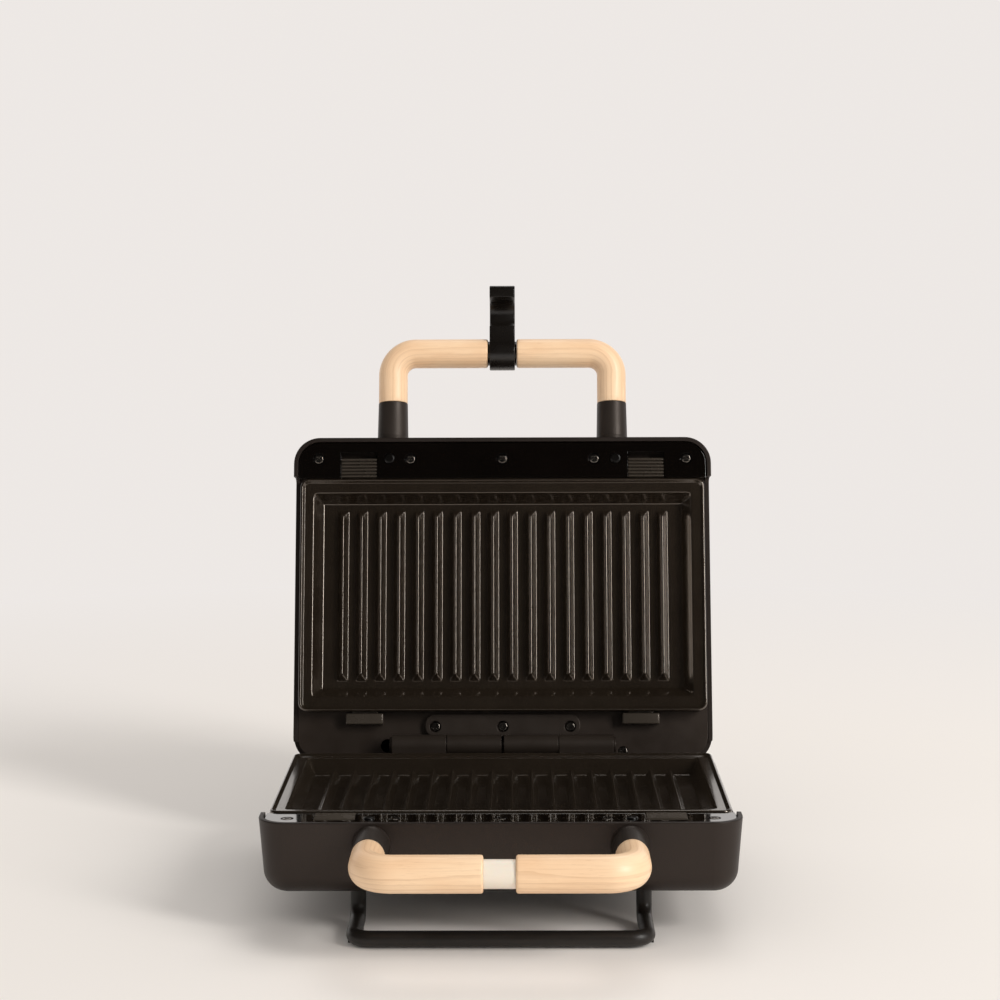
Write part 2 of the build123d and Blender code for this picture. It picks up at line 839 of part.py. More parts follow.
def handle_core(middle_length):
    """Steel core that joins the two grips through the middle sleeve."""
    end = middle_length / 2 + core_embed
    return along_x(bar_y, handle_z, core_diameter, -end, end)


def middle_sleeve(length, diameter):
    """Round sleeve on the core between the two grips."""
    outer = along_x(bar_y, handle_z, diameter, -length / 2, length / 2)
    return outer - along_x(bar_y, handle_z, core_diameter + 2 * core_clearance, -length, length)


def handle_bolts():
    """Bolts from inside the case, through the ferrules into the wood."""
    made = []
    tip_y = ferrule_end_y - bolt_embed + bolt_tip_gap
    for side in (-1, 1):
        x = side * handle_pitch / 2
        bolt = along_y(x, handle_z, bolt_diameter, tip_y, bolt_seat_y)
        bolt += along_y(x, handle_z, bolt_head, bolt_seat_y, bolt_seat_y + bolt_head_height)
        made.append(bolt)
    return made


def latch_clip():
    """Latch clip: a ring on the upper bar and an open hook that closes over the lower keeper."""
    neck_radius = latch_neck_diameter / 2 + pin_clearance
    ring_radius = neck_radius + latch_wall
    seat_radius = keeper_diameter / 2 + latch_clearance
    seat = Pos(latch_span, 0)
    arm_height = latch_face + ring_radius
    outline = Circle(ring_radius) + seat * Circle(ring_radius)
    outline += Pos(latch_span / 2, (latch_face - ring_radius) / 2) * Rectangle(latch_span, arm_height)
    tip = Pos((latch_span + latch_reach) / 2, latch_face - latch_tip_height / 2)
    tip *= Rectangle(latch_reach - latch_span, latch_tip_height)
    outline += fillet(tip.vertices().sort_by(Axis.X)[-2:], latch_tip_radius)
    lip_half = math.sqrt(seat_radius**2 - latch_seat_lip**2)
    near, far_side = latch_span - latch_mouth_near, latch_span + latch_mouth_far
    mouth = Polyline(
        (latch_span - lip_half, latch_seat_lip),
        (near, latch_face),
        (near, 2 * ring_radius),
        (far_side, 2 * ring_radius),
        (far_side, latch_face),
        (latch_span + lip_half, latch_seat_lip),
        close=True,
    )
    outline -= make_face(mouth)
    outline -= seat * Circle(seat_radius)
    outline -= Circle(neck_radius)
    side_view = Plane(origin=(0, bar_y, handle_z), x_dir=(0, -1, 0), z_dir=(-1, 0, 0))
    return extrude(side_view * outline, amount=latch_width / 2, both=True)


def leg_places():
    """Where the four rod legs enter the base."""
    y = half_depth - leg_from_face
    return [(side * rod_pitch / 2, end * y) for side in (-1, 1) for end in (-1, 1)]


def front_rod():
    """Front foot: one rod bent down, forward and across, drawn with the table at z = 0."""
    x = rod_pitch / 2
    leg_y = front_y + leg_from_face
    bar = front_y - bar_from_face
    low = pad_thickness + rod_diameter / 2
    top = mating_z + socket_top_z - socket_roof - socket_clearance
    left = [(-x, leg_y, top), (-x, leg_y, low), (-x, bar, low)]
    right = [(x, bar, low), (x, leg_y, low), (x, leg_y, top)]
    path = FilletPolyline(*left, *right, radius=rod_bend)
    section = Plane(origin=path @ 0, z_dir=path % 0) * Circle(rod_diameter / 2)
    rod = sweep(section, path=path)
    bore = screw_shank + 2 * screw_clearance
    for side in (-1, 1):
        rod -= upright(side * x, leg_y, bore, top - foot_screw_length, top)
    return rod


def foot_pads():
    """Rubber pads pressed under the side runs of both feet."""
    low = pad_thickness + rod_diameter / 2
    middle = half_depth + (bar_from_face - leg_from_face) / 2
    groove = rod_diameter + 2 * pad_clearance
    made = []
    for side in (-1, 1):
        for end in (-1, 1):
            x, y = side * rod_pitch / 2, end * middle
            pad = Pos(x, y, pad_height / 2) * Box(pad_width, pad_length, pad_height)
            made.append(pad - along_y(x, low, groove, y - pad_length, y + pad_length))
    return made


def foot_screws():
    """Screws from inside the base, down into the legs."""
    return screws_at(leg_places(), socket_top_z + screw_head_height, foot_screw_length)


inlet_place = Pos(inlet_x, inlet_y, -inlet_drop) * Rot(-draft_angle, 0, 0)


def cord_inlet():
    """Inlet bush clamped through the base's rear wall, open through its middle."""
    nut = -wall - seat_gap
    outside = seat_gap / 2
    bush = along_y(0, 0, inlet_diameter, nut - inlet_flange_thickness, outside)
    bush += along_y(0, 0, inlet_flange, outside, outside + inlet_flange_thickness)
    bush += along_y(0, 0, inlet_flange, nut - inlet_flange_thickness, nut)
    return inlet_place * (bush - along_y(0, 0, inlet_bore, -far, far))


def terminal_block():
    """Terminal block on the base's floor, with its wire ways."""
    middle_x = inlet_x - block_length / 2
    middle_y = axis_y - block_from_axis
    middle_z = floor_z + block_height / 2
    block = Pos(middle_x, middle_y, middle_z) * Box(block_length, block_depth, block_height)
    way_pitch = block_length / block_ways
    for index in range(block_ways):
        x = middle_x + (index - (block_ways - 1) / 2) * way_pitch
        block -= along_y(x, middle_z, block_hole, middle_y - block_depth, middle_y + block_depth)
    return block


def thermostat():
    """Disc thermostat against the pan's underside, with its two tags."""
    top = pan_z - pan_depth
    body = upright(0, plate_y, thermostat_diameter, top - thermostat_height, top)
    tag_z = top - thermostat_height + pan_thickness / 2
    return body + Pos(0, plate_y, tag_z) * Box(2 * thermostat_tag_reach, thermostat_tag_width, pan_thickness)


def thermal_fuse():
    """Thermal cut-out lying against the lid pan's outside."""
    z = pan_z - pan_depth - fuse_diameter / 2
    return along_x(plate_y, z, fuse_diameter, -fuse_length / 2, fuse_length / 2)


def lenses():
    """Domed lamp lenses in the lid's outer face."""
    made = []
    for x, y in lens_places:
        lens = upright(x, y, lens_diameter, bottom_z - lens_height, floor_z)
        made.append(fillet(lens.edges().group_by(Axis.Z)[0], lens_dome))
    return made


def lamps():
    """Neon lamps standing behind the lenses."""
    low = floor_z + lamp_gap
    return [upright(x, y, lens_diameter, low, low + lamp_length) for x, y in lens_places]


def screws_at(places, top, length=screw_length):
    """Screws with their heads at one height."""
    return [screw(x, y, top, length) for x, y in places]


lid_swing = Pos(0, axis_y, mating_z) * Rot(-open_angle, 0, 0) * Pos(0, -axis_y, 0)


def on_base(shape):
    """Moves half-frame shapes to the standing base."""
    shapes = shape if isinstance(shape, list) else [shape]
    return [Pos(0, 0, mating_z) * piece for piece in shapes]


def on_lid(shape):
    """Mirrors half-frame shapes into the lid and swings them open."""
    shapes = shape if isinstance(shape, list) else [shape]
    return [lid_swing * mirror(piece, about=Plane.XY) for piece in shapes]


nodes = {}

# Base case and what it holds
plate = grill_plate()
front_bezel = bezel()
element = heating_element()
saddles = element_saddles()
pan = reflector_pan()
clips = plate_clips()
studs = bumpers()
bezel_screws = screws_at(bezel_screw_places, bezel_z, bezel_screw_length)
frame_screws = screws_at(frame_screw_places, frame_z)
ferrules = both_sides(ferrule(handle_pitch / 2))
bolts = handle_bolts()
keeper_end = keeper_length / 2 + joint_gap
neck_end = neck_length / 2 + joint_gap
lower_grip = grip(keeper_end)
upper_grip = grip(neck_end)

nodes["base_shell"] = on_base(base_case())
nodes["base_bezel"] = on_base(front_bezel)
nodes["base_inner_frame"] = on_base(screwed_frame(base_leaf_screws))
nodes["lower_plate"] = on_base(plate)
nodes["base_plate_clips"] = on_base(clips)
nodes["base_heating_element"] = on_base(element)
nodes["base_element_saddles"] = on_base(saddles)
nodes["base_reflector_pan"] = on_base(pan)
nodes["base_bumpers"] = on_base(studs)
nodes["base_bezel_screws"] = on_base(bezel_screws)
nodes["base_frame_screws"] = on_base(frame_screws)
nodes["base_hinge_leaves"] = on_base(base_leaves())
nodes["base_hinge_screws"] = on_base(screws_at(base_leaf_screws, leaf_screw_z))
nodes["hinge_pin"] = on_base(hinge_pin())
nodes["base_release_left"] = on_base(release_slider(-1))
nodes["base_release_right"] = on_base(release_slider(1))
nodes["lower_handle_ferrules"] = on_base(ferrules)
nodes["lower_handle_bolts"] = on_base(bolts)
nodes["lower_grip_right"] = on_base(lower_grip)
nodes["lower_grip_left"] = on_base(mirror(lower_grip, about=Plane.YZ))
nodes["lower_handle_core"] = on_base(handle_core(keeper_length))
nodes["latch_keeper"] = on_base(middle_sleeve(keeper_length, keeper_diameter))
nodes["thermostat"] = on_base(thermostat())
nodes["terminal_block"] = on_base(terminal_block())
nodes["cord_inlet_bush"] = on_base(cord_inlet())
nodes["foot_screws"] = on_base(foot_screws())

# Feet, drawn on the table
front_foot = front_rod()
nodes["front_foot"] = [front_foot]
nodes["rear_foot"] = [mirror(front_foot, about=Plane.XZ)]
nodes["foot_pads"] = foot_pads()

# Lid case and what it holds
nodes["lid_shell"] = on_lid(lid_case())
nodes["lid_bezel"] = on_lid(front_bezel)
nodes["lid_inner_frame"] = on_lid(screwed_frame(lid_leaf_screws))
nodes["upper_plate"] = on_lid(plate)
nodes["lid_plate_clips"] = on_lid(clips)
nodes["lid_heating_element"] = on_lid(element)
nodes["lid_element_saddles"] = on_lid(saddles)
nodes["lid_reflector_pan"] = on_lid(pan)
nodes["lid_bumpers"] = on_lid(studs)
nodes["lid_bezel_screws"] = on_lid(bezel_screws)
nodes["lid_frame_screws"] = on_lid(frame_screws)
nodes["lid_hinge_leaf"] = on_lid(lid_leaf())
nodes["lid_hinge_screws"] = on_lid(screws_at(lid_leaf_screws, leaf_screw_z))
nodes["lid_release_left"] = on_lid(release_slider(-1))
nodes["lid_release_right"] = on_lid(release_slider(1))
nodes["upper_handle_ferrules"] = on_lid(ferrules)
nodes["upper_handle_bolts"] = on_lid(bolts)
nodes["upper_grip_right"] = on_lid(upper_grip)
nodes["upper_grip_left"] = on_lid(mirror(upper_grip, about=Plane.YZ))
nodes["upper_handle_core"] = on_lid(handle_core(neck_length))
nodes["latch_neck"] = on_lid(middle_sleeve(neck_length, latch_neck_diameter))
nodes["thermal_fuse"] = on_lid(thermal_fuse())
nodes["lamp_lenses"] = on_lid(lenses())
nodes["neon_lamps"] = on_lid(lamps())
nodes["latch_clip"] = on_lid(latch_clip())

# The origin is under the middle of the standing, open appliance
everything = Compound([solid for shapes in nodes.values() for shape in shapes for solid in shape.solids()])
to_origin = Pos(0, -everything.bounding_box().center().Y, 0)

for name, shapes in nodes.items():
    solids = [to_origin * solid for shape in shapes for solid in shape.solids()]
    export_step(solids[0] if len(solids) == 1 else Compound(solids), f"parts/{name}.step")

hinge_y = axis_y + to_origin.position.Y
lean = math.radians(open_angle - 90)
bar_along = axis_y - bar_y
clip_y = hinge_y + bar_along * math.sin(lean) + handle_drop * math.cos(lean)
clip_z = mating_z + bar_along * math.cos(lean) - handle_drop * math.sin(lean)
print("origin shift", to_origin.position.Y)
print("lid hinge", hinge_y, mating_z, "latch clip pivot", clip_y, clip_z)
print("slide direction in the lid", math.sin(lean), math.cos(lean))
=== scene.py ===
import json
import math

import bmesh
import bpy
from mathutils import Matrix, Vector


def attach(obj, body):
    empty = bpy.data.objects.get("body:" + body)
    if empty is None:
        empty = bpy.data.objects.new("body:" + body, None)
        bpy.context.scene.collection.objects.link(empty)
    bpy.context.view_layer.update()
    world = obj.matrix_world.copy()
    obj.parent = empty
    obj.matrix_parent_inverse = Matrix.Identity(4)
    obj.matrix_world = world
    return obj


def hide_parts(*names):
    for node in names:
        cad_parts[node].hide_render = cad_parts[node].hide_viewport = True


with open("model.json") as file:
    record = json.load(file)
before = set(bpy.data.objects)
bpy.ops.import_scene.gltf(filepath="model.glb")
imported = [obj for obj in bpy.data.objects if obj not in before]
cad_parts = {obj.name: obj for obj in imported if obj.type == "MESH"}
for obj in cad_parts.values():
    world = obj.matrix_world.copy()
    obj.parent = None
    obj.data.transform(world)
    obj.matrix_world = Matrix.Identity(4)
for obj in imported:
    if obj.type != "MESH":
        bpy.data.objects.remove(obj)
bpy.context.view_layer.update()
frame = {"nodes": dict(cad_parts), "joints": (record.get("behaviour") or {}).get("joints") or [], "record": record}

# Each case is drawn in a half frame, in millimetres: the closing plane is z = 0, the case lies
# below it and its handle points to -Y. The lid is the mirror image, swung open at the hinge.
MM = 0.001
HINGE = Vector(next(j for j in frame["joints"] if j["name"] == "lid_hinge")["pos_m"])
AXIS_Y = 82.5
OPEN_ANGLE = 105.0
BASE = Matrix.Translation(HINGE) @ Matrix.Scale(MM, 4) @ Matrix.Translation((0, -AXIS_Y, 0))
LID = (
    Matrix.Translation(HINGE)
    @ Matrix.Rotation(math.radians(-OPEN_ANGLE), 4, "X")
    @ Matrix.Diagonal((MM, MM, -MM, 1))
    @ Matrix.Translation((0, -AXIS_Y, 0))
)
PLACES = {"base": BASE, "lid": LID}

# Sizes shared with the CAD model, in millimetres
FRONT_Y = -92.5
FRAME_Z = -9.5
PLATE_HALF = (115.0, 66.2)
PLATE_Y = -2.6
PLATE_Z = -0.3
PLATE_CORNER = 5.0
PLATE_EDGE = 1.0
PLATE_WALL = 2.3
SKIRT_WALL = 2.5
LIP_CREST = 1.2
LIP_SLOPE = 1.4
LIP_HEIGHT = 1.2
FLANGE_Z = PLATE_Z - LIP_HEIGHT
PIT_HALF = (107.4, 57.9)
PIT_CORNER = 2.6
PIT_DEPTH = 8.4
PIT_SLOPE = 5.1
PIT_Z = FLANGE_Z - PIT_DEPTH
RIB_COUNT = 18
RIB_PITCH = 10.7
RIB_HALF_WIDTH = 3.0
RIB_CREST_HALF = 0.45
RIB_HEIGHT = 4.8
RIB_CREST_END = 44.3
RIB_END_SLOPE = 4.1
TAB_DROP = 5.2
TAB_HALF_WIDTH = 7.0
TAB_THICKNESS = 2.0
TAB_REACH = 3.6
UNDER_TOP_INSET = 1.3
UNDER_FLOOR_INSET = 6.2
SKIRT_EASE = 0.3
SLIDER_X = 81.8
CLIP_X = 77.7
BAR_Y = FRONT_Y - 51.2
HANDLE_Z = -11.75

# Roundings of the cast plates, wider than the CAD model's so that they catch the light
LIP_RADIUS = 0.55
PIT_EDGE_RADIUS = 1.1
PIT_FLOOR_RADIUS = 1.3
RIB_CREST_RADIUS = 0.6
RIB_FOOT_RADIUS = 0.7
RIB_SQUARENESS = 9


# ---- mesh helpers ----

def finished(name, mesh, body, slot, replaced, angle=32.0):
    """Smooth piece that rides on a body in place of a CAD node. Edges past the angle stay sharp."""
    piece = bpy.data.objects.new(name, mesh)
    bpy.context.scene.collection.objects.link(piece)
    mesh.materials.append(FINISHES[slot])
    mesh.polygons.foreach_set("use_smooth", [True] * len(mesh.polygons))
    mesh.set_sharp_from_angle(angle=math.radians(angle))
    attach(piece, body)
    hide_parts(replaced)


def placed(maker, half, name):
    """Mesh from a bmesh drawn in the half frame, moved to its case and faced outward."""
    bmesh.ops.remove_doubles(maker, verts=maker.verts, dist=1e-4)
    bmesh.ops.transform(maker, matrix=PLACES[half], verts=maker.verts)
    bmesh.ops.recalc_face_normals(maker, faces=maker.faces)
    mesh = bpy.data.meshes.new(name)
    maker.to_mesh(mesh)
    maker.free()
    return mesh


def box(maker, low, high, bevel=0.0):
    """Adds a box with eased edges."""
    size = [b - a for a, b in zip(low, high)]
    middle = [(a + b) / 2 for a, b in zip(low, high)]
    place = Matrix.Translation(middle) @ Matrix.Diagonal((*size, 1))
    made = bmesh.ops.create_cube(maker, size=1, matrix=place)["verts"]
    if bevel:
        edges = list({edge for vert in made for edge in vert.link_edges})
        bmesh.ops.bevel(
            maker, geom=edges, offset=bevel, segments=3, profile=0.5, affect="EDGES"
        )


def rounded_profile(corners, radii, steps=5):
    """Polyline with its inner corners rounded, each by its own radius."""
    points = [Vector(corners[0])]
    for index in range(1, len(corners) - 1):
        here = Vector(corners[index])
        before = (Vector(corners[index - 1]) - here).normalized()
        after = (Vector(corners[index + 1]) - here).normalized()
        half_angle = before.angle(after) / 2
        radius = radii[index - 1]
        if radius <= 0:
            points.append(here)
            continue
        reach = radius / math.tan(half_angle)
        centre = here + (before + after).normalized() * radius / math.sin(half_angle)
        start, end = here + before * reach - centre, here + after * reach - centre
        for step in range(steps + 1):
            share = step / steps
            points.append(centre + (start * (1 - share) + end * share).normalized() * radius)
    points.append(Vector(corners[-1]))
    return points


def read_off(profile, place):
    """Height of a profile, which runs in rising order, at a place along it."""
    if place <= profile[0][0]:
        return profile[0][1]
    for low, high in zip(profile, profile[1:]):
        if place <= high[0]:
            share = (place - low[0]) / max(high[0] - low[0], 1e-9)
            return low[1] + (high[1] - low[1]) * share
    return profile[-1][1]


# ---- the ribbed plate ----

PIT_PROFILE = rounded_profile(
    [(-3, FLANGE_Z), (0, FLANGE_Z), (PIT_SLOPE, PIT_Z), (60, PIT_Z)],
    [PIT_EDGE_RADIUS, PIT_FLOOR_RADIUS],
)
RIB_PROFILE = rounded_profile(
    [(-1, RIB_HEIGHT), (RIB_CREST_HALF, RIB_HEIGHT), (RIB_HALF_WIDTH, 0), (9, 0)],
    [RIB_CREST_RADIUS, RIB_FOOT_RADIUS],
)
RIB_PLACES = [(index - (RIB_COUNT - 1) / 2) * RIB_PITCH for index in range(RIB_COUNT)]

# Further grid lines of the plate's mesh: across each rib, along the ribs and down the pit's wall
RIB_LINES = (0, 0.12, 0.24, 1.3, 1.8, 2.2)
LENGTH_LINES = tuple(12 * step for step in range(-3, 4))
WALL_SHARES = (0.3, 0.55, 0.8)
CLOSEST_LINES = 0.03


def pit_height(x, y):
    """Height of the flange, the pit's wall and its floor."""
    across = abs(x) - (PIT_HALF[0] - PIT_CORNER)
    along = abs(y) - (PIT_HALF[1] - PIT_CORNER)
    outward = math.hypot(max(across, 0), max(along, 0)) + min(max(across, along), 0) - PIT_CORNER
    return read_off(PIT_PROFILE, -outward)


def rib_height(x, y):
    """Height of the nearest rib above the pit's floor."""
    nearest = min(RIB_PLACES, key=lambda place: abs(place - x))
    across = abs(x - nearest) / RIB_HALF_WIDTH
    along = max(abs(y) - RIB_CREST_END, 0) / RIB_END_SLOPE
    power = RIB_SQUARENESS
    spread = (across**power + along**power) ** (1 / power) * RIB_HALF_WIDTH
    return read_off(RIB_PROFILE, spread)


def sorted_lines(values, limit):
    """Grid lines in rising order within a limit, without those too close to the last."""
    kept = []
    for value in sorted(values):
        if abs(value) <= limit and (not kept or value - kept[-1] > CLOSEST_LINES):
            kept.append(value)
    return kept


def plate_lines(half, pit_half):
    """Grid lines that catch the pit's rounded edges on both sides."""
    grid_half = half - PLATE_CORNER
    lines = [-grid_half, grid_half]
    for point in PIT_PROFILE[1:-1]:
        lines += [pit_half - point[0], point[0] - pit_half]
    for share in WALL_SHARES:
        lines += [pit_half - PIT_SLOPE * share, PIT_SLOPE * share - pit_half]
    return lines


def grill_plate(half):
    """Cast plate: raised lip, flange, sloped pit with ribs, skirt and rear tabs."""
    grid_half = [size - PLATE_CORNER for size in PLATE_HALF]
    crossing = [point[0] for point in RIB_PROFILE if 0 < point[0] < RIB_PITCH / 2]
    crossing += RIB_LINES
    xs = plate_lines(PLATE_HALF[0], PIT_HALF[0])
    for place in RIB_PLACES:
        xs += [place + side * value for value in crossing for side in (-1, 1)]
    xs = sorted_lines(xs, grid_half[0])
    ys = plate_lines(PLATE_HALF[1], PIT_HALF[1])
    ys += LENGTH_LINES
    for value in crossing:
        end = RIB_CREST_END + value * RIB_END_SLOPE / RIB_HALF_WIDTH
        ys += [end, -end]
    ys = sorted_lines(ys, grid_half[1])
    maker = bmesh.new()
    grid = []
    for y in ys:
        heights = [max(pit_height(x, y), PIT_Z + rib_height(x, y)) for x in xs]
        grid.append([maker.verts.new((x, y + PLATE_Y, z)) for x, z in zip(xs, heights)])
    for low, high in zip(grid, grid[1:]):
        for a, b, c, d in zip(low, low[1:], high[1:], high):
            maker.faces.new((a, b, c, d))
    rim = rim_stations(xs, ys)
    loops = [[grid[ys.index(y)][xs.index(x)] for x, y, _ in rim]]
    for reach, height in skirt_section():
        limits = (xs[-1] + min(reach, 0), ys[-1] + min(reach, 0))
        loop = []
        for x, y, normal in rim:
            x = max(-limits[0], min(limits[0], x)) + normal[0] * max(reach, 0)
            y = max(-limits[1], min(limits[1], y)) + normal[1] * max(reach, 0)
            loop.append(maker.verts.new((x, y + PLATE_Y, height)))
        loops.append(loop)
    for low, high in zip(loops, loops[1:]):
        bridge(maker, low, high)
    maker.faces.new(loops[-1])
    tab_z = PLATE_Z - TAB_DROP
    edge = PLATE_Y + PLATE_HALF[1]
    for side in (-1, 1):
        x = side * CLIP_X
        box(
            maker, (x - TAB_HALF_WIDTH, edge - 1, tab_z - TAB_THICKNESS),
            (x + TAB_HALF_WIDTH, edge + TAB_REACH, tab_z), 0.3,
        )
    return placed(maker, half, "grill_plate")


def rim_stations(xs, ys, fan=6):
    """Points round the grid's edge with their outward directions, fanned at the corners."""
    corners = [(xs[-1], ys[0], -90), (xs[-1], ys[-1], 0), (xs[0], ys[-1], 90), (xs[0], ys[0], 180)]
    sides = [
        [(x, ys[0]) for x in xs[1:-1]],
        [(xs[-1], y) for y in ys[1:-1]],
        [(x, ys[-1]) for x in reversed(xs[1:-1])],
        [(xs[0], y) for y in reversed(ys[1:-1])],
    ]
    directions = [(0, -1), (1, 0), (0, 1), (-1, 0)]
    stations = []
    for side, direction, (corner_x, corner_y, start) in zip(sides, directions, corners):
        stations += [(x, y, direction) for x, y in side]
        for step in range(fan + 1):
            turn = math.radians(start + 90 * step / fan)
            stations.append((corner_x, corner_y, (math.cos(turn), math.sin(turn))))
    return stations


def skirt_section():
    """Reach and height of the plate's edge: up the lip, down the skirt and in under the pit."""
    lip = rounded_profile(
        [
            (0, FLANGE_Z),
            (PLATE_CORNER - LIP_CREST - LIP_SLOPE, FLANGE_Z),
            (PLATE_CORNER - LIP_CREST, PLATE_Z),
            (PLATE_CORNER, PLATE_Z),
            (PLATE_CORNER, PLATE_Z - PLATE_WALL),
        ],
        [LIP_RADIUS, LIP_RADIUS, PLATE_EDGE],
    )
    under = FLANGE_Z - PLATE_WALL
    return [tuple(point) for point in lip[1:]] + [
        (PLATE_CORNER, FRAME_Z + SKIRT_EASE),
        (PLATE_CORNER - SKIRT_EASE, FRAME_Z),
        (PLATE_CORNER - SKIRT_WALL, FRAME_Z),
        (PLATE_CORNER - SKIRT_WALL, under),
        (1e-3, under),
        (-UNDER_TOP_INSET, under),
        (-UNDER_FLOOR_INSET, PIT_Z - PLATE_WALL),
    ]


def bridge(maker, low, high):
    """Faces between two loops, with triangles where points of a loop are the same."""
    count = len(low)
    for index in range(count):
        after = (index + 1) % count
        corners = []
        for vert in (low[index], low[after], high[after], high[index]):
            if vert not in corners:
                corners.append(vert)
        if len(corners) > 2:
            maker.faces.new(corners)


# ---- latch clip, sliders and plate clips ----

# Turns the clip's own plane into the half frame: its first axis points to -Y, its second up
SIDEWAYS = Matrix(((0, 0, -1, 0), (-1, 0, 0, 0), (0, 1, 0, 0), (0, 0, 0, 1)))
CLIP_HALF_WIDTH = 7.3
CLIP_EDGE = 0.55


def arc(centre, radius, start, end, steps):
    """Points of an arc, angles in degrees."""
    turns = [math.radians(start + (end - start) * step / steps) for step in range(steps + 1)]
    return [
        (centre[0] + radius * math.cos(turn), centre[1] + radius * math.sin(turn)) for turn in turns
    ]


def pressed(loops, half_length, bevel, place, half):
    """Mesh of a filled outline with rounded edges, extruded both ways."""
    curve = bpy.data.curves.new("outline", "CURVE")
    curve.dimensions = "2D"
    curve.fill_mode = "BOTH"
    curve.extrude = half_length - bevel
    curve.bevel_depth = bevel
    curve.bevel_resolution = 3
    curve.offset = -bevel
    for loop in loops:
        spline = curve.splines.new("POLY")
        spline.points.add(len(loop) - 1)
        for point, (across, up) in zip(spline.points, loop):
            point.co = (across, up, 0, 1)
        spline.use_cyclic_u = True
    holder = bpy.data.objects.new("outline", curve)
    bpy.context.scene.collection.objects.link(holder)
    bpy.context.view_layer.update()
    shape = holder.evaluated_get(bpy.context.evaluated_depsgraph_get())
    mesh = bpy.data.meshes.new_from_object(shape)
    bpy.data.objects.remove(holder)
    maker = bmesh.new()
    maker.from_mesh(mesh)
    bmesh.ops.transform(maker, matrix=place, verts=maker.verts)
    return placed(maker, half, "pressed")


def latch_clip():
    """Clip with a ring on the upper bar and an open hook for the keeper."""
    ring, neck, face = 9.75, 7.0, 8.0
    span, seat, lip, ease = 23.5, 7.1, 1.0, 0.5
    near, far_side = span - 8.6, span + 8.2
    reach, tip, tip_z = 38.9, 2.5, -1.5
    lip_angle = math.degrees(math.asin(lip / seat))
    face_angle = math.degrees(math.asin(face / ring))
    tip_angle = math.degrees(math.asin(tip_z / ring))
    outline = arc((0, 0), ring, 270, face_angle, 34)
    outline += [(near - 0.8, face)]
    outline += arc((near - ease, face - ease), ease, 80, 15, 4)
    outline += arc((span, 0), seat, 180 - lip_angle, 360 + lip_angle, 26)
    outline += arc((far_side + ease, face - ease), ease, 165, 100, 4)
    outline += arc((reach - tip, face - tip), tip, 90, 0, 8)
    outline += arc((reach - tip, tip_z + tip), tip, 0, -90, 8)
    outline += arc((span, 0), ring, tip_angle, -90, 14)
    hole = arc((0, 0), neck, 0, 354, 59)
    place = Matrix.Translation((0, BAR_Y, HANDLE_Z)) @ SIDEWAYS
    return pressed([outline, hole], CLIP_HALF_WIDTH, CLIP_EDGE, place, "lid")


def skinned(maker, loops, tags=None):
    """Closed skin over loops of points, capped at both ends."""
    if tags:
        layer = maker.verts.layers.float_vector.new("grain")
    made = [[maker.verts.new(point) for point in loop] for loop in loops]
    if tags:
        for verts, values in zip(made, tags):
            for vert, value in zip(verts, values):
                vert[layer] = value
    for low, high in zip(made, made[1:]):
        bridge(maker, low, high)
    maker.faces.new(made[0])
    maker.faces.new(made[-1])


def release_slider(side, half):
    """Thumb slider with six rounded ribs, its wings and its tongue."""
    back, length, half_width = -69.3, 11.4, 10.1
    top, valley, foot = -1.0, -2.6, -9.2
    wing_half, wing_top = 11.5, -4.0
    tongue_half, tongue_end, tongue_low, tongue_top = 6, -67.4, -5.2, -3.6
    count, steps, fullness = 6, 8, 0.75
    spacing = length / count
    outline = [(back - length, foot)]
    for index in range(count * steps + 1):
        share = (index % steps) / steps
        swell = math.sin(math.pi * share) ** fullness if share else 0
        outline.append((back - length + index / steps * spacing, valley + (top - valley) * swell))
    outline.append((back, foot))
    maker = bmesh.new()
    middle = side * SLIDER_X
    loops = []
    for offset, shrink in ((0, 0.35), (0.07, 0.14), (0.2, 0.03), (0.4, 0)):
        x = offset - half_width
        loops.append([(x, y, z - (shrink if z > foot else 0)) for y, z in outline])
    loops += [[(-x, y, z) for x, y, z in loop] for loop in reversed(loops)]
    skinned(maker, [[(x + middle, y, z) for x, y, z in loop] for loop in loops])
    low, high = middle - wing_half, middle + wing_half
    box(maker, (low, back - length, foot), (high, back, wing_top), 0.2)
    low, high = middle - tongue_half, middle + tongue_half
    box(maker, (low, back - 1, tongue_low), (high, tongue_end, tongue_top), 0.2)
    return placed(maker, half, "release_slider")


def plate_clips(half):
    """Fixed hooks behind a plate, with eased tops and an open pocket for the plate's tab."""
    front, back, top, half_width, inset = 64.6, 70.8, -2.5, 10.5, 0.06
    roof, pocket_top, pocket_floor = -4.9, -5.1, -7.9
    pocket_half, pocket_depth = 7.4, 3.2
    web = pocket_half + 0.6
    hidden_top = roof + 1.1
    near, behind = front + inset, back - inset
    maker = bmesh.new()
    for side in (-1, 1):
        x = side * CLIP_X
        box(maker, (x - half_width, front, roof), (x + half_width, back, top), 0.9)
        outer = half_width - inset
        box(maker, (x - outer, near, FRAME_Z), (x - pocket_half, behind, hidden_top), 0.15)
        box(maker, (x + pocket_half, near, FRAME_Z), (x + outer, behind, hidden_top), 0.15)
        box(maker, (x - web, near, pocket_top), (x + web, behind, hidden_top), 0.1)
        box(maker, (x - web, near, FRAME_Z), (x + web, behind, pocket_floor), 0.1)
        box(maker, (x - web, front + pocket_depth, FRAME_Z), (x + web, behind, hidden_top), 0.1)
    return placed(maker, half, "plate_clips")


# ---- wooden grips ----

GRIP_X = 63.0
GRIP_START = -114.35
GRIP_BEND = 13.1
GRIP_HALF = (8.3, 9.0)
GRIP_EDGE = 1.2
GRIP_ROUND = 72

